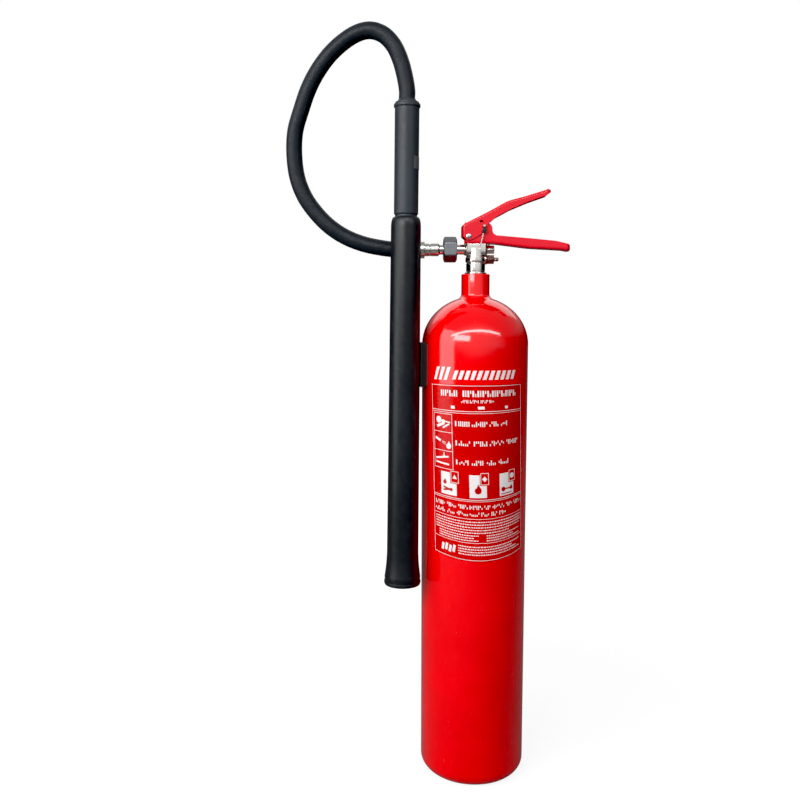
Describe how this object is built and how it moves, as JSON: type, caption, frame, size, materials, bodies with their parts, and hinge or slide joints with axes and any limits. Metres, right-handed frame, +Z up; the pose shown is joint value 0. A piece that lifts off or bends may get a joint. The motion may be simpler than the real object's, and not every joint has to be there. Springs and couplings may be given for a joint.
{
  "type": "fire extinguisher",
  "caption": "Tall red steel gas cylinder with a side-outlet valve, squeeze lever, carrying handle, looped black hose, grip and long discharge horn.",
  "frame": {"origin": "centre of the cylinder's foot, on the cylinder's axis, on the floor", "axes": "+Z up along the cylinder's axis, +X the way the handle and lever point, -Y the labelled front; the hose and horn are on the -X side"},
  "size_m": [0.3585, 0.1363, 0.957],
  "materials": {
    "painted_steel": "high-gloss red powder coat with a slight orange-peel",
    "printed_label": "darker red film printed in white, satin",
    "lever_steel": "glossy red powder coat on pressed sheet steel",
    "nickel_brass": "nickel-plated turned and forged brass, bright",
    "zinc_steel": "zinc-plated or stainless steel, satin",
    "brass": "bare machined brass",
    "aluminium": "drawn aluminium tube",
    "seal": "moulded seal",
    "seat_plastic": "natural nylon seat or fibre washer",
    "seal_plastic": "small dark tamper seal with a thin strap",
    "hose_rubber": "smooth black hose cover with a fine cloth mark",
    "grip_plastic": "moulded black grip with a soft sheen",
    "horn_plastic": "moulded black horn, satin to semi-gloss",
    "clip_plastic": "black plastic clip",
    "foam": "bonded foam pad",
    "copper": "soft copper washer"
  },
  "bodies": {
    "extinguisher": {"steel_cylinder": "painted_steel", "label": "printed_label", "neck_washer": "nickel_brass", "valve_body": "nickel_brass", "dip_tube": "aluminium", "spring_retainer": "brass", "valve_spring": "zinc_steel", "gland_nut": "brass", "gland_seal": "seal", "burst_washer": "copper", "burst_disc": "zinc_steel", "burst_plug": "nickel_brass", "blanking_plug": "nickel_brass", "carry_handle": "lever_steel", "pivot_rivet": "zinc_steel", "tamper_seal": "seal_plastic", "union_nut": "zinc_steel", "union_seal": "seat_plastic", "horn_clip": "clip_plastic", "clip_pad": "foam"},
    "lever": {"squeeze_lever": "lever_steel"},
    "stem": {"spindle": "brass", "valve_plug": "brass", "seat_disc": "seat_plastic"},
    "pin": {"safety_pin": "zinc_steel"},
    "ring": {"pull_ring": "zinc_steel"},
    "horn_assembly": {"hose_tail": "nickel_brass", "hose_ferrule": "nickel_brass", "hose": "hose_rubber", "grip_bush": "grip_plastic", "grip": "grip_plastic", "horn_collar": "grip_plastic", "hose_coupling": "nickel_brass", "discharge_pipe": "zinc_steel", "discharge_nozzle": "brass", "horn": "horn_plastic"}
  },
  "joints": [
    {"name": "lever_squeeze", "type": "hinge", "parent": "extinguisher", "child": "lever", "pos_m": [-0.01, 0, 0.703], "axis": [0, 1, 0], "range_deg": [0, 15], "stiffness_Nm_per_rad": 0.6, "springref_deg": -20.05},
    {"name": "spindle_travel", "type": "slide", "parent": "extinguisher", "child": "stem", "axis": [0, 0, 1], "range_m": [-0.0045, 0], "deforming": ["valve_spring"]},
    {"name": "pin_pull", "type": "slide", "parent": "extinguisher", "child": "pin", "axis": [0, 1, 0], "range_m": [0, 0.04]},
    {"name": "ring_swing", "type": "hinge", "parent": "pin", "child": "ring", "pos_m": [0.0095, 0.018, 0.7154], "axis": [1, 0, 0], "range_deg": [0, 95]},
    {"name": "horn_swing", "type": "hinge", "parent": "extinguisher", "child": "horn_assembly", "pos_m": [-0.038, 0, 0.687], "axis": [1, 0, 0], "range_deg": [-100, 0]}
  ],
  "couplings": [
    {"joint": "spindle_travel", "follows": "lever_squeeze", "m_per_rad": -0.016}
  ]
}
